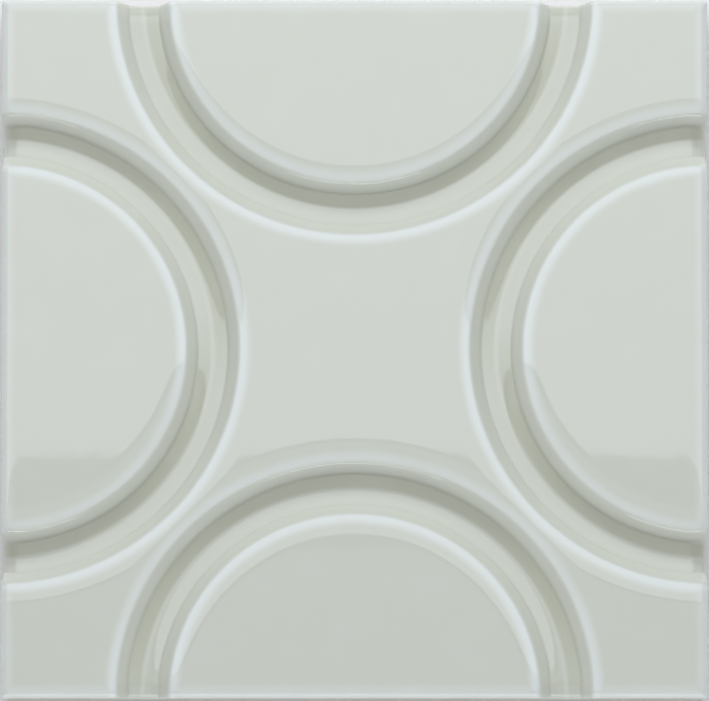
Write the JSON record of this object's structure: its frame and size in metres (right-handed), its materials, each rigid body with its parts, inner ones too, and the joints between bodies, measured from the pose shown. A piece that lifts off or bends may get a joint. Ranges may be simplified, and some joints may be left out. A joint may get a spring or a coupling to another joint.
{
  "type": "relief glazed tile",
  "caption": "Square glazed ceramic wall tile with a half-ring groove pressed into the face at the middle of each side.",
  "frame": {"origin": "centre of the flat back, on the plane that the tile lies on", "axes": "+Z out of the glazed face, +X and +Y square to the tile's sides; the face is the same at each quarter turn"},
  "size_m": [0.148, 0.148, 0.011],
  "materials": {
    "glazed_clay": "smooth glossy pale grey-white glaze over pressed clay"
  },
  "bodies": {
    "root": {"relief_tile": "glazed_clay"}
  },
  "joints": []
}
